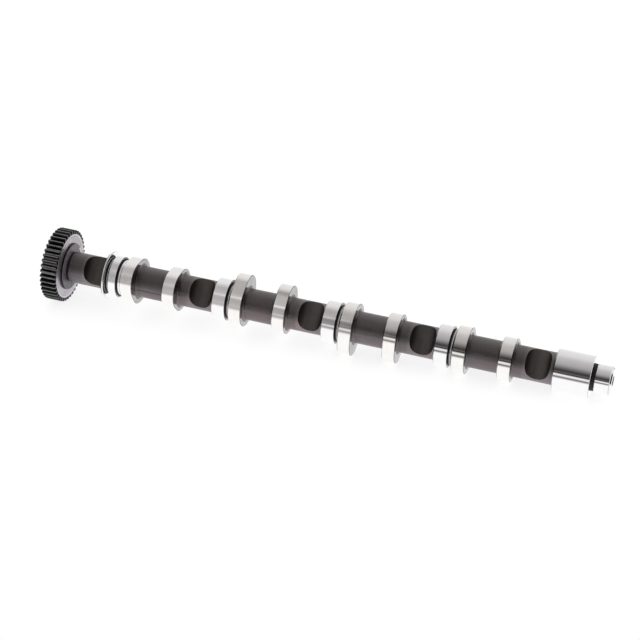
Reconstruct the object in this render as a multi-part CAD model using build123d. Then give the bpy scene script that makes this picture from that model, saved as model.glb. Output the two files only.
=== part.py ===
from build123d import *
import math
import os

# Camshaft for one bank of valves on a four-cylinder engine, with the spur gear that drives it.
# Two pieces: the cast and ground shaft, and the gear pressed on its driven end.
# The shaft's axis is +X. x = 0 is the middle of the thrust journal, and bearings follow at the bore pitch.
# Clock angles are degrees about +X, from +Y towards +Z.

# Driving dimensions, millimetres and degrees
BORE_PITCH = 88.0
CYLINDERS = 4
FIRING_ORDER = (1, 3, 4, 2)
FIRST_NOSE_CLOCK = 146.0

SHAFT_RADIUS = 12.25
CAST_BLEND = 1.7  # 45-degree blend at the foot of the cast walls

JOURNAL_RADIUS = 16.0
JOURNAL_WIDTH = 10.7
JOURNAL_CHAMFER = 0.45
THRUST_JOURNAL_WIDTH = 6.7
END_JOURNAL_START = 348.6
END_JOURNAL_LENGTH = 27.7

COLLAR_RADIUS = 18.6
COLLAR_WIDTH = 2.3
COLLAR_CHAMFER = 1.0
THRUST_GAP = 2.35  # between the collar and the thrust journal
GROUND_GROOVE_RADIUS = 13.9
GROUND_BLEND = 1.0
CAST_GROOVE_RADIUS = 13.6

LOBE_WIDTH = 10.0
LOBE_CORE_RADIUS = 15.5
LOBE_NOSE_RADIUS = 14.0
CYLINDER_OFFSET = 31.2  # from a bearing's middle to the middle of the cylinder after it
LOBE_SPREAD = 34.6  # between the two lobes of one cylinder
# Each cylinder's two lobes: base circle radius, lift, half of the opening angle, clock lead of the nose
LOBES = (
    {"base": 17.9, "lift": 4.6, "half_angle": 65.0, "lead": 0.0},
    {"base": 16.7, "lift": 4.4, "half_angle": 70.0, "lead": 8.0},
)

SCALLOP_RADIUS = 9.75  # bolt clearance cut across the shaft beside each bearing
SCALLOP_AXIS_HEIGHT = 14.5
SCALLOP_CLOCK = 137.0
SCALLOP_OFFSET = -15.6  # from a bearing's middle to the middle of its scallop

STUB_GROOVE_RADIUS = 10.2
STUB_GROOVE_WIDTH = 2.7
STUB_RADIUS = 10.7
STUB_LENGTH = 12.2
STUB_CHAMFER = 1.0

GEAR_TEETH = 41
GEAR_OUTER_RADIUS = 28.5
GEAR_WIDTH = 13.5
GEAR_FACE_X = -41.5
PRESSURE_ANGLE = 20.0
TOOTH_DEPTH = 2.25  # in modules
TOOTH_CHAMFER = 0.4
WEB_RADIUS = 23.8
WEB_STEP = 0.4
BOSS_RADIUS = 18.4
BOSS_HEIGHT = 1.7
BORE_CHAMFER = 0.5

SEAT_RADIUS = 11.75
SEAT_OVERHANG = 1.5  # shaft end past the gear's outer face
SEAT_CHAMFER = 1.0
RELIEF_RADIUS = 11.25
RELIEF_WIDTH = 2.3

CENTRE_HOLE_RADIUS = 2.0
CENTRE_HOLE_DEPTH = 5.0
CENTRE_MOUTH_RADIUS = 4.0

# Stations along the shaft, worked out from the sizes above
SEAT_END_X = GEAR_FACE_X + BOSS_HEIGHT
SHAFT_START_X = GEAR_FACE_X - GEAR_WIDTH - SEAT_OVERHANG
COLLAR_FACE_X = -THRUST_JOURNAL_WIDTH / 2 - THRUST_GAP
COLLAR_BACK_X = COLLAR_FACE_X - COLLAR_WIDTH
END_JOURNAL_END_X = END_JOURNAL_START + END_JOURNAL_LENGTH
SHAFT_END_X = END_JOURNAL_END_X + STUB_GROOVE_WIDTH + STUB_LENGTH


def lobe_middles(cylinder):
    """The x of the middle of each of a cylinder's two lobes. Cylinders count from 1."""
    middle = (cylinder - 1) * BORE_PITCH + CYLINDER_OFFSET
    return middle - LOBE_SPREAD / 2, middle + LOBE_SPREAD / 2


def shaft_steps():
    """The turned outline as steps: x of the step's end, radius, edge chamfer, blend at the foot of its walls."""
    steps = [
        (SEAT_END_X, SEAT_RADIUS, SEAT_CHAMFER, 0),
        (SEAT_END_X + RELIEF_WIDTH, RELIEF_RADIUS, 0, 0),
        (COLLAR_FACE_X, SHAFT_RADIUS, 0, 0),
        (-THRUST_JOURNAL_WIDTH / 2, GROUND_GROOVE_RADIUS, 0, 0),
        (THRUST_JOURNAL_WIDTH / 2, JOURNAL_RADIUS, JOURNAL_CHAMFER, 0),
    ]
    for cylinder in range(1, CYLINDERS + 1):
        first, second = lobe_middles(cylinder)
        if cylinder == 1:
            steps.append((first - LOBE_WIDTH / 2, GROUND_GROOVE_RADIUS, 0, GROUND_BLEND))
        else:
            bearing = (cylinder - 1) * BORE_PITCH
            steps.append((bearing - JOURNAL_WIDTH / 2, SHAFT_RADIUS, 0, CAST_BLEND))
            steps.append((bearing + JOURNAL_WIDTH / 2, JOURNAL_RADIUS, JOURNAL_CHAMFER, 0))
            steps.append((first - LOBE_WIDTH / 2, CAST_GROOVE_RADIUS, 0, 0))
        steps.append((first + LOBE_WIDTH / 2, LOBE_CORE_RADIUS, 0, 0))
        steps.append((second - LOBE_WIDTH / 2, SHAFT_RADIUS, 0, CAST_BLEND))
        steps.append((second + LOBE_WIDTH / 2, LOBE_CORE_RADIUS, 0, 0))
    steps.append((END_JOURNAL_START, SHAFT_RADIUS, 0, CAST_BLEND))
    steps.append((END_JOURNAL_END_X, JOURNAL_RADIUS, JOURNAL_CHAMFER, 0))
    steps.append((END_JOURNAL_END_X + STUB_GROOVE_WIDTH, STUB_GROOVE_RADIUS, 0, 0))
    steps.append((SHAFT_END_X, STUB_RADIUS, STUB_CHAMFER, 0))
    return steps


def step_corner(x, radius, neighbour, edge_chamfer, blend, into):
    """The outline's points at one end of a step, from its wall inwards. into is +1 or -1, the way into the step."""
    if neighbour > radius:
        return [(x, radius + blend), (x + into * blend, radius)]
    cut = min(edge_chamfer, (radius - neighbour) / 2)
    return [(x, radius - cut), (x + into * cut, radius)]


def turned_shaft():
    """One revolved outline for everything that turns true about the axis."""
    steps = shaft_steps()
    radii = [0] + [radius for _, radius, _, _ in steps] + [0]
    points = [(SHAFT_START_X, 0)]
    start_x = SHAFT_START_X
    for i, (end_x, radius, edge_chamfer, blend) in enumerate(steps):
        points += step_corner(start_x, radius, radii[i], edge_chamfer, blend, 1)
        points += reversed(step_corner(end_x, radius, radii[i + 2], edge_chamfer, blend, -1))
        start_x = end_x
    points.append((SHAFT_END_X, 0))
    distinct = [point for i, point in enumerate(points) if i == 0 or point != points[i - 1]]
    return revolve(make_face(Polyline(*distinct, close=True)), Axis.X)


def scallop(middle_x):
    """The round cutter that clears a bolt: a cylinder lying across the shaft."""
    clock = math.radians(SCALLOP_CLOCK)
    outward = Vector(0, math.cos(clock), math.sin(clock))
    across = Vector(0, -math.sin(clock), math.cos(clock))
    place = Plane(origin=Vector(middle_x, 0, 0) + outward * SCALLOP_AXIS_HEIGHT, x_dir=(1, 0, 0), z_dir=across)
    return place * Cylinder(SCALLOP_RADIUS, 4 * SHAFT_RADIUS)


def open_scallop():
    """The first scallop, whose floor runs on flat as far as the collar."""
    run = COLLAR_BACK_X - SCALLOP_OFFSET
    slab = Box(run, 4 * SHAFT_RADIUS, 2 * SCALLOP_RADIUS, align=(Align.MIN, Align.CENTER, Align.CENTER))
    slab = Rot(X=SCALLOP_CLOCK - 90) * Pos(SCALLOP_OFFSET, 0, SCALLOP_AXIS_HEIGHT) * slab
    return scallop(SCALLOP_OFFSET) + slab


def thrust_collar():
    """The collar that takes the end thrust, ground on the face towards its bearing."""
    outline = Polyline(
        (COLLAR_BACK_X, 0),
        (COLLAR_BACK_X, COLLAR_RADIUS - COLLAR_CHAMFER),
        (COLLAR_BACK_X + COLLAR_CHAMFER, COLLAR_RADIUS),
        (COLLAR_FACE_X, COLLAR_RADIUS),
        (COLLAR_FACE_X, 0),
        close=True,
    )
    return revolve(make_face(outline), Axis.X)


def nose_clock(cylinder, lead):
    """The clock angle of a lobe's nose: a quarter turn later for each place in the firing order."""
    return FIRST_NOSE_CLOCK + 360 / CYLINDERS * FIRING_ORDER.index(cylinder) + lead


def polar(radius, clock):
    """A point of a section across the shaft."""
    return Vector(radius, 0).rotate(Axis.Z, clock)


def lobe_section(lobe):
    """A lobe's outline with its nose along the section's x: base circle, nose arc and two flank arcs."""
    base, half_angle = lobe["base"], math.radians(lobe["half_angle"])
    nose_centre = base + lobe["lift"] - LOBE_NOSE_RADIUS
    # the flank's centre lies behind the axis, where its arc is tangent to the base circle and to the nose
    less = base - LOBE_NOSE_RADIUS
    behind = (nose_centre**2 - less**2) / (2 * (less - nose_centre * math.cos(half_angle)))
    flank_radius = base + behind
    edges = [ThreePointArc(polar(base, lobe["half_angle"]), (-base, 0), polar(base, -lobe["half_angle"]))]
    nose_ends = []
    for side in (1, -1):
        clock = side * lobe["half_angle"]
        flank_centre = polar(-behind, clock)
        towards_nose = (Vector(nose_centre, 0) - flank_centre).normalized()
        nose_end = flank_centre + towards_nose * flank_radius
        middle = flank_centre + (towards_nose + polar(1, clock)).normalized() * flank_radius
        edges.append(ThreePointArc(polar(base, clock), middle, nose_end))
        nose_ends.append(nose_end)
    edges.append(ThreePointArc(nose_ends[0], (base + lobe["lift"], 0), nose_ends[1]))
    return make_face(Wire(edges))


def cam_lobe(middle_x, lobe, clock):
    """A cam lobe, with its nose at a clock angle."""
    solid = extrude(Plane.YZ.offset(middle_x - LOBE_WIDTH / 2) * lobe_section(lobe), LOBE_WIDTH)
    return Rot(X=clock) * solid


def centre_hole(end_x, inward):
    """A centre-drilled hole in a shaft end. inward is +1 or -1 along X."""
    mouth_depth = (CENTRE_MOUTH_RADIUS - CENTRE_HOLE_RADIUS) * math.sqrt(3)
    outline = Polyline(
        (end_x, 0),
        (end_x, CENTRE_MOUTH_RADIUS),
        (end_x + inward * mouth_depth, CENTRE_HOLE_RADIUS),
        (end_x + inward * CENTRE_HOLE_DEPTH, CENTRE_HOLE_RADIUS),
        (end_x + inward * CENTRE_HOLE_DEPTH, 0),
        close=True,
    )
    return revolve(make_face(outline), Axis.X)


def make_camshaft():
    body = turned_shaft() - open_scallop()
    for bearing in range(1, CYLINDERS + 1):
        body -= scallop(bearing * BORE_PITCH + SCALLOP_OFFSET)
    body += thrust_collar()
    for cylinder in range(1, CYLINDERS + 1):
        for middle_x, lobe in zip(lobe_middles(cylinder), LOBES):
            body += cam_lobe(middle_x, lobe, nose_clock(cylinder, lobe["lead"]))
    body -= centre_hole(SHAFT_START_X, 1)
    body -= centre_hole(SHAFT_END_X, -1)
    return body


def involute(angle):
    return math.tan(angle) - angle


def toothed_section():
    """The gear's outline across the shaft: involute flanks, tip arcs and root arcs, a tooth at the first nose."""
    module = 2 * GEAR_OUTER_RADIUS / (GEAR_TEETH + 2)
    pressure = math.radians(PRESSURE_ANGLE)
    base_radius = module * GEAR_TEETH / 2 * math.cos(pressure)
    root_radius = GEAR_OUTER_RADIUS - TOOTH_DEPTH * module
    flank_foot = max(base_radius, root_radius)
    flank_radii = (flank_foot, (flank_foot + GEAR_OUTER_RADIUS) / 2, GEAR_OUTER_RADIUS)
    pitch = 360 / GEAR_TEETH

    def half_tooth(radius):
        """Half of a tooth's thickness at a radius, in degrees."""
        turned = involute(pressure) - involute(math.acos(base_radius / radius))
        return pitch / 4 + math.degrees(turned)

    edges = []
    for tooth in range(GEAR_TEETH):
        clock = FIRST_NOSE_CLOCK + tooth * pitch
        rising = [polar(radius, clock - half_tooth(radius)) for radius in flank_radii]
        falling = [polar(radius, clock + half_tooth(radius)) for radius in reversed(flank_radii)]
        next_foot = polar(flank_foot, clock + pitch - half_tooth(flank_foot))
        edges.append(ThreePointArc(*rising))
        edges.append(ThreePointArc(rising[-1], polar(GEAR_OUTER_RADIUS, clock), falling[0]))
        edges.append(ThreePointArc(*falling))
        edges.append(ThreePointArc(falling[-1], polar(root_radius, clock + pitch / 2), next_foot))
    return make_face(Wire(edges))


def make_drive_gear():
    """Spur gear: teeth, a rim stepped back from the web, and a boss towards the bearings."""
    outer_x = GEAR_FACE_X - GEAR_WIDTH
    outline = Polyline(
        (outer_x, SEAT_RADIUS + BORE_CHAMFER),
        (outer_x, WEB_RADIUS),
        (outer_x + WEB_STEP, WEB_RADIUS + WEB_STEP),
        (outer_x + WEB_STEP, GEAR_OUTER_RADIUS - TOOTH_CHAMFER),
        (outer_x + WEB_STEP + TOOTH_CHAMFER, GEAR_OUTER_RADIUS),
        (GEAR_FACE_X - WEB_STEP - TOOTH_CHAMFER, GEAR_OUTER_RADIUS),
        (GEAR_FACE_X - WEB_STEP, GEAR_OUTER_RADIUS - TOOTH_CHAMFER),
        (GEAR_FACE_X - WEB_STEP, WEB_RADIUS + WEB_STEP),
        (GEAR_FACE_X, WEB_RADIUS),
        (GEAR_FACE_X, BOSS_RADIUS),
        (SEAT_END_X, BOSS_RADIUS),
        (SEAT_END_X, SEAT_RADIUS),
        (outer_x + BORE_CHAMFER, SEAT_RADIUS),
        close=True,
    )
    blank = revolve(make_face(outline), Axis.X)
    toothed = extrude(Plane.YZ.offset(outer_x) * toothed_section(), GEAR_WIDTH + BOSS_HEIGHT)
    return toothed & blank


os.makedirs("parts", exist_ok=True)
export_step(make_camshaft(), "parts/camshaft.step")
export_step(make_drive_gear(), "parts/drive_gear.step")
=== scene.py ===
import math

import bpy
import numpy as np
from mathutils import Matrix, Vector


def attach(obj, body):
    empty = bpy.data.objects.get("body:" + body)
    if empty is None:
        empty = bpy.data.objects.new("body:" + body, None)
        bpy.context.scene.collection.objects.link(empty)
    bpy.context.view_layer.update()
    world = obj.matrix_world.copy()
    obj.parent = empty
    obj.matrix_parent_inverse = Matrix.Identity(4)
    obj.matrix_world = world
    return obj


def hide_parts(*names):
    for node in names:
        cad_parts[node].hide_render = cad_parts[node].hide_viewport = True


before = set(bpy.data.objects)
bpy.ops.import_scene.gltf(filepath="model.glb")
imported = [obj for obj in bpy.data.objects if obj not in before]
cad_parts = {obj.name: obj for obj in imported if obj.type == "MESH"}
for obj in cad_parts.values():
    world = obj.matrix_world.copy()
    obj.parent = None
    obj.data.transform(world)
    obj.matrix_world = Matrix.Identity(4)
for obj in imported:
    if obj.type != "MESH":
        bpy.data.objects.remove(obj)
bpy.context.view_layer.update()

MM = 0.001

# ---------------------------------------------------------------- sizes, millimetres and degrees
BORE_PITCH = 88.0
FIRING_ORDER = (1, 3, 4, 2)
FIRST_NOSE_CLOCK = 146.0
SHAFT_R = 12.25
CAST_FILLETS = (2.0, 2.0)
JOURNAL_R = 16.0
JOURNAL_W = 10.7
JOURNAL_CHAMFER = 0.45
THRUST_JOURNAL_W = 6.7
END_JOURNAL = (348.6, 376.3)
COLLAR_R = 18.6
COLLAR_X = (-8.0, -5.7)
COLLAR_CHAMFER = 1.0
COLLAR_BREAK = 0.15
GROUND_GROOVE_R = 13.9
CAST_GROOVE_R = 13.6
LOBE_W = 10.0
EDGE_BREAK = 0.3
LEAD_BREAK = 0.55
RELIEF_FILLETS = (0.05, 0.8)
COLLAR_GROOVE_FILLETS = (0.5, 0.5)
GROUND_GROOVE_FILLETS = (1.2, 1.2)
CAST_GROOVE_FILLETS = (0.9, 0.9)
STUB_GROOVE_FILLETS = (0.5, 0.1)
FILLET_STEPS = 5
SPAN_STEP = 1.5
LINE_W = 0.35
NOSE_R = 14.0
LOBES = ({"x": 13.9, "base": 17.9, "lift": 4.6, "half": 65.0, "lead": 0.0},
         {"x": 48.5, "base": 16.7, "lift": 4.4, "half": 70.0, "lead": 8.0})
SCALLOP_R = 9.75
SCALLOP_H = 14.5
SCALLOP_CLOCK = 137.0
SCALLOP_DX = -15.6
SCALLOP_ARC_STEP = 5
CUTTER_REACH = 20.0
STUB_GROOVE_X = (376.3, 379.0)
STUB_GROOVE_R = 10.2
STUB_R = 10.7
STUB_BREAK = 0.2
STUB_LEAD_W = 0.5
STUB_CHAMFER = 1.0
STUB_FACE_BREAK = 0.1
SHAFT_END = 391.2
SEAT_R = 11.75
SEAT_CHAMFER = 1.0
RELIEF_R = 11.25
RELIEF_SLANT = 0.1
SHAFT_START = -56.5
SEAT_END = -39.8
RELIEF_END = -37.5
HOLE_R = 2.0
HOLE_MOUTH_R = 4.0
HOLE_DEPTH = 5.0
GEAR_X = (-55.0, -41.5)
GEAR_R = 28.5
TEETH = 41
PRESSURE_ANGLE = 20.0
MODULE = 2 * GEAR_R / (TEETH + 2)
ROOT_R = GEAR_R - 2.25 * MODULE
ROOT_MARGIN = 0.1
ROOT_FOOT = 0.75
ROOT_SHARES = (0.25, 0.7)
TIP_ROUND = 0.12
TIP_ROUND_DEG = 0.2
TIP_CHAMFER = 0.4
TOOTH_BREAK = 0.08
BORE_CHAMFER = 0.5
WEB_R = 23.8
WEB_STEP = 0.4
RIM_LINE_W = 0.4
RIM_LINE_DEPTH = 0.12
BOSS_R = 18.4
BOSS_H = 1.7
BOSS_ROUND = 0.7
BOSS_ROUND_STEP = 15
# Painted shade on the boss's side and rounding runs up to this angle of the rounding.
BOSS_SHADE_END = 60
# Painted highlight on the boss: width of its ring, then the middle and half width of its arc in degrees.
GLINT_W = 1.3
GLINT_CLOCK = 16.0
GLINT_HALF = 15.0
FACE_DROP = 0.2
PARTING_CLOCKS = (3.0, 183.0)
PARTING_HEIGHT = 0.22
PARTING_HALF_WIDTH = 1.3
PARTING_CLEAR = 0.6
PARTING_RAGGED = (0.4, 1.0)
BLACK_FLASH_X = (18.0, 45.0)
SEGMENTS = 160
SHARP_DEG = 24.0


# ---------------------------------------------------------------- mesh helpers
class Lathe:
    """Rings of points about +X, each at an x and with a radius per clock angle, joined into a closed skin."""

    def __init__(self, clocks):
        self.clocks = np.asarray(clocks, float)
        self.rings = []
        self.slots = []

    def ring(self, x, radius, slot):
        """Adds a ring. slot is the material, or one per clock angle, of the strip that ends at this ring."""
        self.rings.append((float(x), np.broadcast_to(np.asarray(radius, float), self.clocks.shape)))
        self.slots.append(np.broadcast_to(slot, self.clocks.shape))

    def mesh(self, name, materials):
        count = len(self.clocks)
        angles = np.radians(self.clocks)
        cos, sin = np.cos(angles), np.sin(angles)
        points = [np.stack([np.full(count, x), r * cos, r * sin], 1) for x, r in self.rings]
        ends = [[self.rings[0][0], 0, 0], [self.rings[-1][0], 0, 0]]
        points = np.concatenate([*points, ends]) * MM
        a = np.arange(count)
        b = (a + 1) % count
        faces = []
        for low in range(0, (len(self.rings) - 1) * count, count):
            faces += np.stack([low + a, low + b, low + count + b, low + count + a], 1).tolist()
        slots = np.concatenate(self.slots[1:]).tolist()
        first, last = len(points) - 2, len(points) - 1
        end = (len(self.rings) - 1) * count
        faces += [[first, int(j), int(i)] for i, j in zip(a, b)]
        faces += [[last, int(end + i), int(end + j)] for i, j in zip(a, b)]
        slots += self.slots[1].tolist() + self.slots[-1].tolist()
        mesh = bpy.data.meshes.new(name)
        mesh.from_pydata(points.tolist(), [], faces)
        for material in materials:
            mesh.materials.append(material)
        mesh.polygons.foreach_set("material_index", np.array(slots, np.int32))
        mesh.update()
        piece = bpy.data.objects.new(name, mesh)
        bpy.context.scene.collection.objects.link(piece)
        return piece


def smooth(piece):
    """Smooth shading, but sharp at steep edges and wherever two materials meet."""
    mesh = piece.data
    mesh.polygons.foreach_set("use_smooth", np.ones(len(mesh.polygons), bool))
    mesh.set_sharp_from_angle(angle=math.radians(SHARP_DEG))
    slots = np.empty(len(mesh.polygons), np.int32)
    corners = np.empty(len(mesh.polygons), np.int32)
    edges = np.empty(len(mesh.loops), np.int32)
    sharp = np.empty(len(mesh.edges), bool)
    mesh.polygons.foreach_get("material_index", slots)
    mesh.polygons.foreach_get("loop_total", corners)
    mesh.loops.foreach_get("edge_index", edges)
    mesh.edges.foreach_get("use_edge_sharp", sharp)
    lowest = np.full(len(mesh.edges), 99, np.int32)
    highest = np.zeros(len(mesh.edges), np.int32)
    np.minimum.at(lowest, edges, np.repeat(slots, corners))
    np.maximum.at(highest, edges, np.repeat(slots, corners))
    mesh.edges.foreach_set("use_edge_sharp", sharp | (lowest != highest))
    mesh.update()


def lobe_radius(lobe, clock, clocks):
    """The lobe's outline as a radius per clock angle: base circle, flank arcs and nose arc."""
    theta = np.abs((clocks - clock + 180) % 360 - 180)
    t = np.radians(theta)
    base, half = lobe["base"], math.radians(lobe["half"])
    d = base + lobe["lift"] - NOSE_R
    less = base - NOSE_R
    behind = (d * d - less * less) / (2 * (less - d * math.cos(half)))
    flank_r = base + behind
    centre = np.array([-behind * math.cos(half), -behind * math.sin(half)])
    to_nose = np.array([d, 0]) - centre
    nose_end = centre + to_nose / np.linalg.norm(to_nose) * flank_r
    nose_angle = math.atan2(nose_end[1], nose_end[0])
    nose = d * np.cos(t) + np.sqrt(np.maximum(NOSE_R**2 - (d * np.sin(t)) ** 2, 0))
    along = centre[0] * np.cos(t) + centre[1] * np.sin(t)
    across = centre[0] * np.sin(t) - centre[1] * np.cos(t)
    flank = along + np.sqrt(np.maximum(flank_r**2 - across**2, 0))
    return np.where(t < nose_angle, nose, np.where(t < half, flank, base))


# ---------------------------------------------------------------- materials
class Graph:
    """A node tree, with short cuts for the nodes that are used most."""

    def __init__(self, tree):
        self.tree = tree

    def put(self, socket, value):
        if isinstance(value, bpy.types.NodeSocket):
            self.tree.links.new(value, socket)
        else:
            socket.default_value = value

    def add(self, kind, inputs=None, **settings):
        node = self.tree.nodes.new("ShaderNode" + kind)
        for key, value in settings.items():
            setattr(node, key, value)
        for key, value in (inputs or {}).items():
            self.put(node.inputs[key], value)
        return node

    def maths(self, operation, *values):
        return self.add("Math", dict(enumerate(values)), operation=operation).outputs[0]

    def noise(self, place, scale, detail=3.0, rough=0.5):
        inputs = {"Vector": place, "Scale": scale, "Detail": detail, "Roughness": rough}
        return self.add("TexNoise", inputs).outputs[0]

    def rings(self, across, scale, detail=2.0):
        """Noise that changes only with one number, such as a radius or a place along the shaft."""
        inputs = {"W": across, "Scale": scale, "Detail": detail}
        return self.add("TexNoise", inputs, noise_dimensions="1D").outputs[0]

    def ramp(self, factor, *stops):
        node = self.add("ValToRGB", {0: factor})
        band = node.color_ramp
        while len(band.elements) < len(stops):
            band.elements.new(0.5)
        for element, (position, colour) in zip(band.elements, stops):
            element.position = position
            element.color = (*colour, 1)
        return node.outputs[0]

    def spread(self, value, low, high, to_low, to_high):
        """Maps low..high smoothly to to_low..to_high."""
        inputs = {0: value, 1: low, 2: high, 3: to_low, 4: to_high}
        return self.add("MapRange", inputs, interpolation_type="SMOOTHSTEP").outputs[0]

    def mix(self, factor, a, b, blend="MIX"):
        inputs = {0: factor, 6: a, 7: b}
        return self.add("Mix", inputs, data_type="RGBA", blend_type=blend).outputs[2]


class Look(Graph):
    """A material. lay is 1 where grinding or turning marks run round the shaft."""

    def __init__(self, name, metallic, ior=1.5, tint=(1, 1, 1), lay=0.0):
        self.material = bpy.data.materials.new(name)
        self.material.use_nodes = True
        super().__init__(self.material.node_tree)
        self.shader = self.tree.nodes["Principled BSDF"]
        self.shader.inputs["Metallic"].default_value = metallic
        self.shader.inputs["IOR"].default_value = ior
        self.shader.inputs["Specular Tint"].default_value = (*tint, 1)
        self.place = self.add("TexCoord").outputs["Object"]
        self.xyz = self.add("SeparateXYZ", {0: self.place})
        if lay:
            self.shader.inputs["Anisotropic"].default_value = lay
            self.shader.inputs["Anisotropic Rotation"].default_value = 0.25
            tangent = self.add("Tangent", direction_type="RADIAL", axis="X")
            self.put(self.shader.inputs["Tangent"], tangent.outputs[0])

    def radius(self):
        squares = [self.maths("MULTIPLY", side, side) for side in self.xyz.outputs[1:3]]
        return self.maths("SQRT", self.maths("ADD", *squares))

    def finish(self, colour, rough, height, strength, depth_mm):
        self.put(self.shader.inputs["Base Color"], colour)
        self.put(self.shader.inputs["Roughness"], rough)
        bump = self.add("Bump", {"Strength": strength, "Distance": depth_mm * MM, "Height": height})
        self.put(self.shader.inputs["Normal"], bump.outputs[0])
        return self.material


# Noise scales, per metre: as-cast skin, then ground and turned metal.
GRAIN, PITS, PATCHES, RUST = 900, 380, 70, 28
MARKS, BROAD_MARKS, STAINS = 2600, 420, 120
RUST_TINT = (1.25, 0.98, 0.92, 1)
SCALE_IOR = 2.05
# Painted light on the cast skin below the axis: full from -6 mm down, none from 8 mm up.
UNDERSIDE_LIGHT_Z = (-6.0, 8.0)


def beside_scallop(look, near, far, at_near, at_far):
    """A level that changes with the distance along the shaft from the middle of the nearest scallop."""
    along = look.maths("SUBTRACT", look.xyz.outputs[0], SCALLOP_DX * MM)
    along = look.maths("DIVIDE", along, BORE_PITCH * MM)
    along = look.maths("SUBTRACT", look.maths("FRACT", look.maths("ADD", along, 1.5)), 0.5)
    away = look.maths("MULTIPLY", look.maths("ABSOLUTE", along), BORE_PITCH * MM)
    return look.spread(away, near * MM, far * MM, at_near, at_far)


def cast_look(name, dark, light, rough, strength, tint, near_scallop_level=None, low=(1, 1, 1)):
    """As-cast, blackened skin: fine grain, broad patches, and smoother spots. Its level can change with the
    distance from a scallop, which on the scallop skin is painted shade at the steep ends. low is painted
    light: a lighter tint below the axis that stands in for the floor's light there. Both follow the photo,
    light included."""
    look = Look(name, 0.0, SCALE_IOR, tint)
    grain = look.noise(look.place, GRAIN, 5, 0.6)
    patch = look.noise(look.place, PATCHES, 3)
    pits = look.noise(look.place, PITS, 2)
    tone = look.maths("ADD", look.maths("MULTIPLY", grain, 0.45), look.maths("MULTIPLY", patch, 0.55))
    colour = look.ramp(tone, (0.36, dark), (0.64, light))
    rust = look.spread(look.noise(look.place, RUST, 2), 0.42, 0.68, 0.0, 0.9)
    colour = look.mix(rust, colour, RUST_TINT, "MULTIPLY")
    # Painted light: below the axis the colour is multiplied by low, several times lighter, standing in for
    # the floor's light.
    painted_underside_light = look.spread(look.xyz.outputs[2], UNDERSIDE_LIGHT_Z[0] * MM, UNDERSIDE_LIGHT_Z[1] * MM, 1.0, 0.0)
    colour = look.mix(painted_underside_light, colour, (*low, 1), "MULTIPLY")
    # Level by distance from the nearest scallop; on the scallop skin this is painted shade at the steep ends.
    if near_scallop_level:
        colour = look.mix(1.0, colour, beside_scallop(look, *near_scallop_level), "MULTIPLY")
    roughness = look.spread(look.maths("ADD", grain, patch), 0.8, 1.2, rough - 0.07, rough + 0.09)
    height = look.maths("ADD", grain, look.maths("MULTIPLY", pits, 0.8))
    return look.finish(colour, roughness, height, strength, 0.12)


def ground_look(name, dark, light, rough, lay, across="x", metallic=1.0):
    """Ground or turned metal: marks that run round the shaft, with faint stains. across is the way they are
    spaced: along x on a cylinder, or by radius on a wall."""
    look = Look(name, metallic, lay=lay)
    across = look.xyz.outputs[0] if across == "x" else look.radius()
    marks = look.rings(across, MARKS, 3)
    broad = look.rings(across, BROAD_MARKS, 2)
    stain = look.noise(look.place, STAINS, 4, 0.6)
    tone = look.maths("ADD", look.maths("MULTIPLY", marks, 0.25), look.maths("MULTIPLY", stain, 0.55))
    tone = look.maths("ADD", tone, look.maths("MULTIPLY", broad, 0.20))
    colour = look.ramp(tone, (0.36, dark), (0.6, light))
    roughness = look.spread(look.maths("ADD", marks, stain), 0.75, 1.3, rough + 0.04, rough - 0.02)
    height = look.maths("ADD", marks, look.maths("MULTIPLY", broad, 0.6))
    return look.finish(colour, roughness, height, 0.15, 0.02)


CAST, JOURNAL, LOBE, WALL, EDGE, SCALLOP, SHADE_BLACK, GROOVE, HIGHLIGHT_LINE = range(9)
shaft_materials = [
    # Cast skin: painted light below the axis, about four times lighter and more purple there; 2.2 times
    # lighter along the scallops.
    cast_look("cast_skin", (0.015, 0.0132, 0.0125), (0.035, 0.0305, 0.0290), 0.33, 0.35,
              (1.0, 0.928, 0.925), near_scallop_level=(9.0, 12.5, 2.2, 1.0), low=(3.9, 3.5, 4.5)),
    ground_look("ground_journal", (0.935, 0.928, 0.933), (0.985, 0.978, 0.983), 0.05, 0.6),
    ground_look("ground_lobe", (0.935, 0.913, 0.890), (0.985, 0.968, 0.950), 0.05, 0.6),
    ground_look("turned_wall", (0.28, 0.27, 0.275), (0.46, 0.445, 0.45), 0.12, 0.3, "radius"),
    ground_look("bright_edge", (0.90, 0.90, 0.90), (0.97, 0.97, 0.97), 0.08, 0.3),
    # Scallop skin: painted shade, darkening to an eighth of its level towards the scallops' steep ends.
    cast_look("scallop_skin", (0.038, 0.0340, 0.0305), (0.063, 0.0560, 0.051), 0.42, 0.25,
              (0.42, 0.40, 0.39), near_scallop_level=(4.2, 8.8, 1.0, 0.12)),
    # Painted shade: near black in the grooves and their fillets, the gear-side relief, the stub end's hole,
    # the collar's left chamfer and the first journal's left wall.
    cast_look("shade_black_skin", (0.006, 0.005, 0.006), (0.012, 0.010, 0.011), 0.6, 0.2, (0.4, 0.38, 0.39)),
    ground_look("dull_groove", (0.16, 0.15, 0.15), (0.26, 0.25, 0.25), 0.20, 0.3),
    # Painted highlight: a near-white, nearly matt line round the middle of the collar groove and cast
    # grooves, at the end journal's right edge and before the stub's chamfer.
    ground_look("painted_highlight_line", (0.84, 0.83, 0.84), (0.94, 0.93, 0.94), 0.35, 0.0, metallic=0.15),
]
WEB, TIP, FLANK_SHADE, RIM, TOOTH_END_SHADE, ROOT, BOSS, BOSS_SHADE, BOSS_GLINT = range(9)
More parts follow.
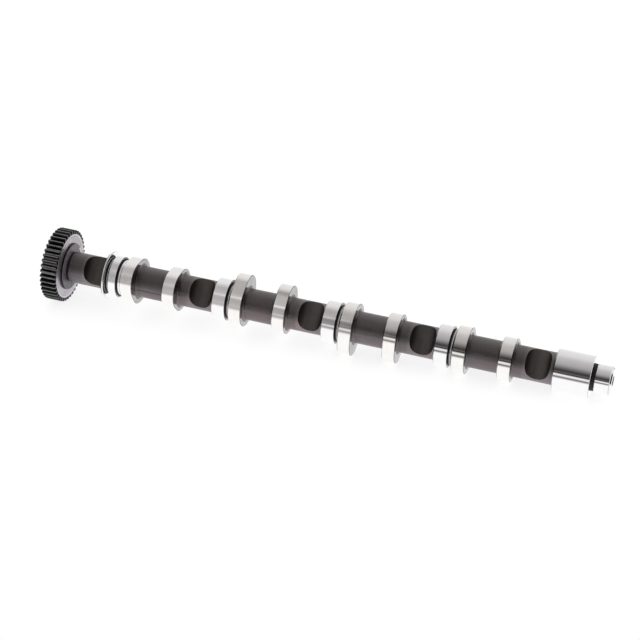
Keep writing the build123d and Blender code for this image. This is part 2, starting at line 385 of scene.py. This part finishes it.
gear_materials = [
    ground_look("gear_web", (0.38, 0.35, 0.38), (0.54, 0.51, 0.55), 0.32, 0.0, "radius", 0.86),
    ground_look("gear_tip", (0.16, 0.155, 0.16), (0.24, 0.235, 0.24), 0.42, 0.0, metallic=0.5),
    # Painted shade: the tooth flanks near black, for the shade in the gaps between teeth.
    ground_look("gear_flank_shade", (0.05, 0.048, 0.05), (0.10, 0.095, 0.098), 0.35, 0.3),
    ground_look("gear_rim", (0.56, 0.54, 0.56), (0.74, 0.72, 0.74), 0.24, 0.0, "radius", 0.8),
    # Painted shade: the teeth's end faces near black.
    ground_look("gear_tooth_end_shade", (0.02, 0.019, 0.02), (0.05, 0.047, 0.05), 0.30, 0.4, "radius"),
    ground_look("gear_root", (0.32, 0.31, 0.32), (0.44, 0.43, 0.44), 0.30, 0.3),
    ground_look("gear_boss", (0.14, 0.125, 0.14), (0.21, 0.19, 0.215), 0.40, 0.0, "radius", 0.25),
    # Painted shade: near black on the boss's side and lower rounding, away from the highlight arc.
    cast_look("gear_boss_shade", (0.003, 0.003, 0.003), (0.008, 0.007, 0.008), 0.5, 0.2, (0.3, 0.28, 0.3)),
    # Painted highlight: a near-white, nearly matt ring on the boss face, on a 30-degree arc.
    ground_look("gear_painted_glint", (0.82, 0.80, 0.82), (0.94, 0.93, 0.94), 0.35, 0.0, "radius", 0.15),
]


# ---------------------------------------------------------------- the shaft
offsets = (-PARTING_HALF_WIDTH, 0, PARTING_HALF_WIDTH)
parting = [clock + offset for clock in PARTING_CLOCKS for offset in offsets]
even = [k * 360 / SEGMENTS for k in range(SEGMENTS)]
even = [c for c in even if min(abs(c - p) for p in parting) > PARTING_CLEAR]
clocks = np.array(sorted(even + parting))
on_parting = np.isin(clocks, PARTING_CLOCKS)
by_parting = on_parting | np.isin(clocks, [c - PARTING_HALF_WIDTH for c in PARTING_CLOCKS])
shaft = Lathe(clocks)
random = np.random.default_rng(7)


def cast_ring(x, radius, slot=CAST):
    """A ring of as-cast shaft, with the ragged flash line where the mould halves met. Between the first two
    lobes the line is higher and near black on both its flanks."""
    black_flash = BLACK_FLASH_X[0] < x < BLACK_FLASH_X[1]
    height = PARTING_HEIGHT if black_flash else PARTING_HEIGHT / 2
    ridge = height * random.uniform(*PARTING_RAGGED, len(clocks)) * on_parting
    if slot == CAST:
        shaft.ring(x, radius + ridge, np.where(by_parting & black_flash, SHADE_BLACK, CAST))
    else:
        shaft.ring(x, radius, slot)


def fillet_rings(x, radius, size, side, first_slot, slot):
    """From wall to floor (side +1) or floor to wall (side -1), as an arc. The first ring ends what came
    before, so it has a slot of its own."""
    for i in range(FILLET_STEPS + 1):
        a = math.radians(90 * i / FILLET_STEPS)
        here = first_slot if i == 0 else slot
        if side > 0:
            cast_ring(x + size * (1 - math.cos(a)), radius + size * (1 - math.sin(a)), here)
        else:
            cast_ring(x - size * (1 - math.sin(a)), radius + size * (1 - math.cos(a)), here)


def span(x0, x1, radius, sizes, slot, floor, wall, line=None):
    """A stretch between two walls: the wall on its left, a fillet, the floor, with a fine line of its own
    round the middle where one is given, and a fillet."""
    fillet_rings(x0, radius, sizes[0], 1, wall, slot)
    for x in np.arange(x0 + sizes[0] + SPAN_STEP, x1 - sizes[1] - SPAN_STEP / 2, SPAN_STEP):
        cast_ring(x, radius, floor)
    if line:
        middle = (x0 + x1) / 2
        cast_ring(middle - LINE_W / 2, radius, floor)
        cast_ring(middle + LINE_W / 2, radius, line)
    fillet_rings(x1, radius, sizes[1], -1, floor, slot)


def band(x0, x1, radius, slot, edge, left_wall=WALL):
    """A ground band with both edges broken, the left one wider."""
    radius = np.asarray(radius, float)
    shaft.ring(x0, radius - LEAD_BREAK, left_wall)
    shaft.ring(x0 + LEAD_BREAK, radius, WALL)
    shaft.ring(x1 - EDGE_BREAK, radius, slot)
    shaft.ring(x1, radius - EDGE_BREAK, edge)


def nose_clock(cylinder, lead):
    return FIRST_NOSE_CLOCK + 90 * FIRING_ORDER.index(cylinder) + lead


mouth_depth = (HOLE_MOUTH_R - HOLE_R) * math.sqrt(3)
shaft.ring(SHAFT_START + HOLE_DEPTH, HOLE_R, SHADE_BLACK)
shaft.ring(SHAFT_START + mouth_depth, HOLE_R, GROOVE)
shaft.ring(SHAFT_START, HOLE_MOUTH_R, WALL)
shaft.ring(SHAFT_START, SEAT_R - SEAT_CHAMFER, WALL)
shaft.ring(SHAFT_START + SEAT_CHAMFER, SEAT_R, EDGE)
shaft.ring(SEAT_END, SEAT_R, JOURNAL)
shaft.ring(SEAT_END + RELIEF_SLANT, RELIEF_R, SHADE_BLACK)
shaft.ring(RELIEF_END - RELIEF_SLANT, RELIEF_R, SHADE_BLACK)
span(RELIEF_END, COLLAR_X[0], SHAFT_R, RELIEF_FILLETS, CAST, CAST, CAST)
shaft.ring(COLLAR_X[0], COLLAR_R - COLLAR_CHAMFER, WALL)
shaft.ring(COLLAR_X[0] + COLLAR_CHAMFER, COLLAR_R, SHADE_BLACK)
shaft.ring(COLLAR_X[1] - COLLAR_BREAK, COLLAR_R, EDGE)
shaft.ring(COLLAR_X[1], COLLAR_R - COLLAR_BREAK, GROOVE)
span(COLLAR_X[1], -THRUST_JOURNAL_W / 2, GROUND_GROOVE_R, COLLAR_GROOVE_FILLETS,
     SHADE_BLACK, SHADE_BLACK, EDGE, HIGHLIGHT_LINE)
band(-THRUST_JOURNAL_W / 2, THRUST_JOURNAL_W / 2, JOURNAL_R, JOURNAL, GROOVE, SHADE_BLACK)
x = THRUST_JOURNAL_W / 2
for cylinder in range(1, 5):
    start = (cylinder - 1) * BORE_PITCH
    for index, lobe in enumerate(LOBES):
        radius = lobe_radius(lobe, nose_clock(cylinder, lobe["lead"]), clocks)
        x0 = start + lobe["x"] - LOBE_W / 2
        if index == 0 and cylinder == 1:
            span(x, x0, GROUND_GROOVE_R, GROUND_GROOVE_FILLETS, SHADE_BLACK, EDGE, WALL, SHADE_BLACK)
        elif index == 0:
            span(x, x0, CAST_GROOVE_R, CAST_GROOVE_FILLETS, SHADE_BLACK, GROOVE, WALL, HIGHLIGHT_LINE)
        else:
            span(x, x0, SHAFT_R, CAST_FILLETS, CAST, CAST, WALL)
        band(x0, x0 + LOBE_W, radius, LOBE, GROOVE)
        x = x0 + LOBE_W
    if cylinder < 4:
        journal = cylinder * BORE_PITCH
        span(x, journal - JOURNAL_W / 2, SHAFT_R, CAST_FILLETS, CAST, CAST, WALL)
        band(journal - JOURNAL_W / 2, journal + JOURNAL_W / 2, JOURNAL_R, JOURNAL, GROOVE)
        x = journal + JOURNAL_W / 2
span(x, END_JOURNAL[0], SHAFT_R, CAST_FILLETS, CAST, CAST, WALL)
band(*END_JOURNAL, JOURNAL_R, JOURNAL, HIGHLIGHT_LINE)
span(*STUB_GROOVE_X, STUB_GROOVE_R, STUB_GROOVE_FILLETS, SHADE_BLACK, SHADE_BLACK, EDGE)
shaft.ring(STUB_GROOVE_X[1], STUB_R - STUB_BREAK, WALL)
shaft.ring(STUB_GROOVE_X[1] + STUB_BREAK, STUB_R, EDGE)
shaft.ring(SHAFT_END - STUB_CHAMFER - STUB_LEAD_W, STUB_R, JOURNAL)
shaft.ring(SHAFT_END - STUB_CHAMFER, STUB_R - STUB_BREAK, HIGHLIGHT_LINE)
shaft.ring(SHAFT_END, STUB_R - STUB_CHAMFER - STUB_FACE_BREAK, EDGE)
shaft.ring(SHAFT_END, HOLE_MOUTH_R, EDGE)
shaft.ring(SHAFT_END - mouth_depth, HOLE_R, SHADE_BLACK)
shaft.ring(SHAFT_END - HOLE_DEPTH, HOLE_R, SHADE_BLACK)
camshaft = shaft.mesh("camshaft_body", shaft_materials)


def scallop_outline(opens):
    """The bolt scallop seen along its own axis: a round-bottomed channel. The first opens into the collar."""
    turn = [math.radians(a) for a in range(180, 361, SCALLOP_ARC_STEP)]
    points = [(SCALLOP_R * math.cos(a), SCALLOP_H + SCALLOP_R * math.sin(a)) for a in turn]
    if opens:
        reach = COLLAR_X[0] - SCALLOP_DX
        points = [p for p in points if p[0] <= 0.01]
        points += [(reach, SCALLOP_H - SCALLOP_R), (reach, SCALLOP_H)]
    top = 2 * SCALLOP_H
    return [(points[0][0], top), *points, (points[-1][0], top)]


def cut_scallops(piece):
    """Cuts the five scallops, and leaves their own material on the cut."""
    points, faces = [], []
    c = math.radians(SCALLOP_CLOCK)
    for bearing in range(5):
        outline = scallop_outline(bearing == 0)
        first, count = len(points), len(outline)
        for across in (-CUTTER_REACH, CUTTER_REACH):
            for dx, height in outline:
                y = height * math.cos(c) - across * math.sin(c)
                z = height * math.sin(c) + across * math.cos(c)
                points.append(((bearing * BORE_PITCH + SCALLOP_DX + dx) * MM, y * MM, z * MM))
        faces.append([first + k for k in reversed(range(count))])
        faces.append([first + count + k for k in range(count)])
        for k in range(count):
            n = (k + 1) % count
            faces.append([first + k, first + n, first + count + n, first + count + k])
    mesh = bpy.data.meshes.new("scallop_cutter")
    mesh.from_pydata(points, [], faces)
    for material in shaft_materials:
        mesh.materials.append(material)
    mesh.polygons.foreach_set("material_index", np.full(len(faces), SCALLOP, np.int32))
    cutter = bpy.data.objects.new("scallop_cutter", mesh)
    bpy.context.scene.collection.objects.link(cutter)
    modifier = piece.modifiers.new("scallops", "BOOLEAN")
    modifier.operation = "DIFFERENCE"
    modifier.solver = "EXACT"
    modifier.object = cutter
    bpy.context.view_layer.objects.active = piece
    bpy.ops.object.modifier_apply(modifier="scallops")
    bpy.data.objects.remove(cutter)


cut_scallops(camshaft)
smooth(camshaft)
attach(camshaft, "root")
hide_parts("camshaft")
print("camshaft_body polygons", len(camshaft.data.polygons), "rings", len(shaft.rings))


# ---------------------------------------------------------------- the gear
def tooth_outline():
    """Clock angle, radius and material round the gear: flank, tip, flank and root of every tooth."""
    pressure = math.radians(PRESSURE_ANGLE)
    base = MODULE * TEETH / 2 * math.cos(pressure)
    low = max(base, ROOT_R)
    pitch = 360 / TEETH

    def half(radius):
        there = math.acos(min(1.0, base / radius))
        roll = (math.tan(pressure) - pressure) - (math.tan(there) - there)
        return pitch / 4 + math.degrees(roll)

    flank = [low + (GEAR_R - TIP_ROUND - low) * i / 4 for i in range(5)]
    gap = pitch / 2 - half(low)
    one = [(-half(r), r, FLANK_SHADE) for r in flank]
    tip = half(GEAR_R) - TIP_ROUND_DEG
    one += [(-tip, GEAR_R, TIP), (0, GEAR_R, TIP), (tip, GEAR_R, FLANK_SHADE)]
    one += [(half(r), r, FLANK_SHADE) for r in reversed(flank)]
    foot = low - (low - ROOT_R) * ROOT_FOOT
    near, far = ROOT_SHARES
    for share, r in ((near, foot), (far, ROOT_R)):
        one.append((half(low) + gap * share, r, ROOT))
    for share, r, slot in ((far, ROOT_R, ROOT), (near, foot, FLANK_SHADE)):
        one.append((pitch - half(low) - gap * share, r, slot))
    return [(FIRST_NOSE_CLOCK + k * pitch + c, r, slot) for k in range(TEETH) for c, r, slot in one]


tooth_clocks, tooth_r, tooth_slots = (np.array(column) for column in zip(*tooth_outline()))
gear = Lathe(tooth_clocks)
x0, x1 = GEAR_X
outer, inner = x0 + WEB_STEP, x1 - FACE_DROP
chamfered = np.minimum(tooth_r, GEAR_R - TIP_CHAMFER)
gear.ring(x1 + BOSS_H, SEAT_R, WEB)
gear.ring(x0 + BORE_CHAMFER, SEAT_R, WEB)
gear.ring(x0, SEAT_R + BORE_CHAMFER, WEB)
gear.ring(x0, WEB_R, WEB)
gear.ring(outer, WEB_R + WEB_STEP, RIM)
gear.ring(outer, ROOT_R - ROOT_MARGIN, RIM)
gear.ring(outer, chamfered - TOOTH_BREAK, TOOTH_END_SHADE)
gear.ring(outer + TOOTH_BREAK, chamfered, tooth_slots)
gear.ring(outer + TIP_CHAMFER, tooth_r, tooth_slots)
gear.ring(inner - TIP_CHAMFER, tooth_r, tooth_slots)
gear.ring(inner - TOOTH_BREAK, chamfered, tooth_slots)
gear.ring(inner, chamfered - TOOTH_BREAK, tooth_slots)
gear.ring(inner, ROOT_R - ROOT_MARGIN, TOOTH_END_SHADE)
gear.ring(inner, WEB_R + RIM_LINE_W, RIM)
gear.ring(inner - RIM_LINE_DEPTH, WEB_R + RIM_LINE_W / 2, WEB)
gear.ring(x1, WEB_R, WEB)
gear.ring(x1, BOSS_R, WEB)
# Painted highlight on a 30-degree arc: there the boss's side and rounding take the rim's lighter metal and
# its face a near-white ring; elsewhere the side and lower rounding are painted shade, near black.
glint_arc = np.abs(tooth_clocks % 360 - GLINT_CLOCK) < GLINT_HALF
for degrees in range(0, 91, BOSS_ROUND_STEP):
    a = math.radians(degrees)
    height = BOSS_H - BOSS_ROUND * (1 - math.sin(a))
    gear.ring(x1 + height, BOSS_R - BOSS_ROUND * (1 - math.cos(a)),
              np.where(glint_arc, RIM, BOSS_SHADE if degrees < BOSS_SHADE_END else BOSS))
gear.ring(x1 + BOSS_H, BOSS_R - BOSS_ROUND - GLINT_W, np.where(glint_arc, BOSS_GLINT, BOSS))
gear.ring(x1 + BOSS_H, SEAT_R, BOSS)
gear_piece = gear.mesh("drive_gear_body", gear_materials)
smooth(gear_piece)
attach(gear_piece, "root")
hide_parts("drive_gear")
print("gear polygons", len(gear_piece.data.polygons))


# ---------------------------------------------------------------- floor, light, camera
FLOOR_X = (-0.9, 0.51)
FLOOR_Y = (-0.10, 2.0)
FLOOR_GAP = 0.05
FLOOR_START = 0.4
FLOOR_MATT = (0.27, 0.27, 0.27, 1)
FLOOR_GLOW = 0.80
BLACK = (0, 0, 0, 1)
WHITE = (1, 1, 1, 1)
scene = bpy.context.scene


def floor_plane():
    """The table top, tilted to touch the gear's rim and the end journal, which the shaft rests on."""
    gear_end = GEAR_X[1] - WEB_STEP
    slope = (GEAR_R - JOURNAL_R) / (END_JOURNAL[1] - JOURNAL_CHAMFER - gear_end)
    (left, right), (front, back) = FLOOR_X, FLOOR_Y
    corners = [(left, front, 0), (right, front, 0), (right, back, 0), (left, back, 0)]
    mesh = bpy.data.meshes.new("floor")
    mesh.from_pydata(corners, [], [[0, 1, 2, 3]])
    floor = bpy.data.objects.new("floor", mesh)
    scene.collection.objects.link(floor)
    floor.rotation_euler = (0, -math.atan(slope), 0)
    floor.location = ((gear_end - FLOOR_START) * MM, 0, -(GEAR_R + FLOOR_GAP) * MM)
    return floor


def glossy_or_clear(graph, path):
    return graph.maths("MAXIMUM", path.outputs["Is Glossy Ray"], path.outputs["Is Transmission Ray"])


def floor_look():
    """White to the camera but for the shadow, and as white to metal and glass."""
    material = bpy.data.materials.new("floor_white")
    material.use_nodes = True
    material.cycles.emission_sampling = "NONE"
    graph = Graph(material.node_tree)
    graph.tree.nodes.clear()
    path = graph.add("LightPath")
    mirror = glossy_or_clear(graph, path)
    grey = graph.mix(mirror, FLOOR_MATT, BLACK)
    matt = graph.add("BsdfDiffuse", {"Color": grey})
    glow = graph.maths("MULTIPLY", path.outputs["Is Camera Ray"], FLOOR_GLOW)
    light = graph.add("Emission", {"Color": WHITE, "Strength": graph.maths("ADD", glow, mirror)})
    both = graph.add("AddShader", {0: matt.outputs[0], 1: light.outputs[0]})
    output = graph.add("OutputMaterial")
    graph.put(output.inputs["Surface"], both.outputs[0])
    return material


# What metal mirrors of the room, fitted to the photo. Each ramp gives levels by the angle round the shaft's
# axis, where 0 is the front and 90 overhead. The ranges of X are parts of a direction's own X, from -1 to 1.
ROOM_LEFT = ((-18, 1.0), (-11, 0.80), (-6, 0.54), (2, 0.46), (10, 0.51), (18, 0.47), (34, 0.43),
             (50, 0.52), (58, 0.54), (74, 0.46), (96, 0.46), (106, 0.56), (122, 0.73), (134, 0.79),
             (172, 0.85), (190, 0.97), (200, 1.0))
ROOM_RIGHT = ((-16, 1.0), (-10, 0.70), (-6, 0.22), (-1, 0.20), (4, 0.70), (9, 0.98), (12, 0.70),
              (16, 0.06), (20, 0.04), (24, 0.14), (28, 0.06), (34, 0.035), (42, 0.10), (50, 0.19),
              (58, 0.29), (66, 0.38), (90, 0.48), (106, 0.56), (120, 0.68), (134, 0.73), (154, 0.78),
              (174, 0.84), (190, 0.96), (200, 1.0))
ROOM_ENDS = ((-25, 0.9), (-8, 0.03), (110, 0.03), (145, 0.9))
ROOM_GEAR = ((-18, 1.0), (-11, 0.7), (-4, 0.2), (10, 0.12), (60, 0.18), (100, 0.32), (122, 0.6),
             (140, 0.76), (172, 0.85), (200, 1.0))
LEFT_TO_RIGHT_X = (-0.29, -0.19)
GEAR_SIDE_X = (-0.372, -0.352)
GEAR_SIDE_SHARE = 0.9
UNLIT_X = (0.0, 0.12)
UNLIT_SHARE = 0.94
ENDS_X = (0.36, 0.46)
AXIAL_X = (0.80, 0.92)
OVERHEAD_ANGLE = 125.0
OVERHEAD_REACH = (33.0, 48.0)
OVERHEAD_SHARE = 0.25
# Soft-edged patches, one dark and one light: middle and reach in X, the same in angle, and colour.
SPOTS = ((-0.262, 0.03, 85, 25, (0.24, 0.22, 0.20, 1)),
         (-0.27, 0.05, 51, 9, (1.0, 0.97, 0.93, 1)))
SPOT_SHARE = 0.8
MATT_LIGHT = (0.95, 0.95, 0.95, 1)
WARM_DARK = (1.0, 0.955, 0.945)
WARM_BELOW = 0.9
RAMP_START = 160


def share_of_turn(angle):
    """Where an angle lies on the ramps, which start at the angle -RAMP_START."""
    return ((angle + RAMP_START) % 360) / 360


def room_ramp(graph, turn, stops):
    """Brightness by angle, a little warmer where it is darker."""
    colours = []
    for angle, level in stops:
        warm = 1 - min(1.0, level / WARM_BELOW)
        colours.append((share_of_turn(angle), [level * (1 + (w - 1) * warm) for w in WARM_DARK]))
    return graph.ramp(turn, *sorted(colours, key=lambda stop: stop[0]))


def room_spot(graph, x, turn, middle_x, reach_x, middle_angle, reach_angle):
    """How far a direction lies inside a soft-edged patch, given by its middle and reach both ways."""
    across = graph.maths("ABSOLUTE", graph.maths("SUBTRACT", x, middle_x))
    round_axis = graph.maths("ABSOLUTE", graph.maths("SUBTRACT", turn, share_of_turn(middle_angle)))
    one = graph.spread(across, 0.0, reach_x, 1.0, 0.0)
    other = graph.spread(round_axis, 0.0, reach_angle / 360, SPOT_SHARE, 0.0)
    return graph.maths("MULTIPLY", one, other)


def metal_room(graph):
    """The room as metal mirrors it: a ramp for each part of X, an unlit side, two patches and dark ends."""
    direction = graph.add("SeparateXYZ", {0: graph.add("TexCoord").outputs["Generated"]})
    x, y, z = direction.outputs
    angle = graph.maths("ARCTAN2", z, graph.maths("MULTIPLY", y, -1.0))
    turn = graph.maths("ADD", graph.maths("DIVIDE", angle, 2 * math.pi), RAMP_START / 360 + 1)
    turn = graph.maths("FRACT", turn)
    side = graph.spread(x, *LEFT_TO_RIGHT_X, 0.0, 1.0)
    room = graph.mix(side, room_ramp(graph, turn, ROOM_LEFT), room_ramp(graph, turn, ROOM_RIGHT))
    gear_side = graph.spread(x, *GEAR_SIDE_X, GEAR_SIDE_SHARE, 0.0)
    room = graph.mix(gear_side, room, room_ramp(graph, turn, ROOM_GEAR))
    overhead = graph.maths("ABSOLUTE", graph.maths("SUBTRACT", turn, share_of_turn(OVERHEAD_ANGLE)))
    reach, end = OVERHEAD_REACH
    unlit = graph.spread(overhead, reach / 360, end / 360, OVERHEAD_SHARE, 1.0)
    unlit = graph.maths("MULTIPLY", graph.spread(x, *UNLIT_X, 0.0, UNLIT_SHARE), unlit)
    room = graph.mix(unlit, room, BLACK)
    room = graph.mix(graph.spread(x, *ENDS_X, 0.0, 1.0), room, room_ramp(graph, turn, ROOM_ENDS))
    for *reaches, colour in SPOTS:
        room = graph.mix(room_spot(graph, x, turn, *reaches), room, colour)
    axial = graph.spread(graph.maths("ABSOLUTE", x), *AXIAL_X, 0.0, UNLIT_SHARE)
    return graph.mix(axial, room, BLACK)


def studio_world():
    """White to the camera, and plain to matt surfaces. Metal sees bands of light and dark above the floor."""
    world = bpy.data.worlds.new("studio")
    world.use_nodes = True
    world.cycles.sampling_method = "NONE"
    graph = Graph(world.node_tree)
    background = graph.tree.nodes["Background"]
    path = graph.add("LightPath")
    seen = graph.mix(glossy_or_clear(graph, path), MATT_LIGHT, metal_room(graph))
    seen = graph.mix(path.outputs["Is Camera Ray"], seen, WHITE)
    graph.put(background.inputs["Color"], seen)
    return world


floor = floor_plane()
floor.data.materials.append(floor_look())
scene.world = studio_world()

# The camera, as fitted to the photo. Metres; right and up are directions in the frame.
CAMERA_LENS = 111.0
CAMERA_PLACE = Vector((0.53467, -1.20413, 0.81135))
CAMERA_RIGHT = Vector((0.94800, 0.31606, 0.03746))
CAMERA_UP = Vector((-0.20139, 0.50455, 0.83957))

camera_data = bpy.data.cameras.new("camera")
camera_data.lens = CAMERA_LENS
camera_data.sensor_width = 36.0
camera_data.clip_start = 0.01
camera = bpy.data.objects.new("camera", camera_data)
scene.collection.objects.link(camera)
right = CAMERA_RIGHT.normalized()
back = right.cross(CAMERA_UP.normalized()).normalized()
turned = Matrix((right, back.cross(right), back)).transposed()
camera.matrix_world = Matrix.Translation(CAMERA_PLACE) @ turned.to_4x4()
scene.camera = camera
scene.view_settings.view_transform = "Standard"


def corners(box):
    return [[float(v) for v in corner] for corner in box]
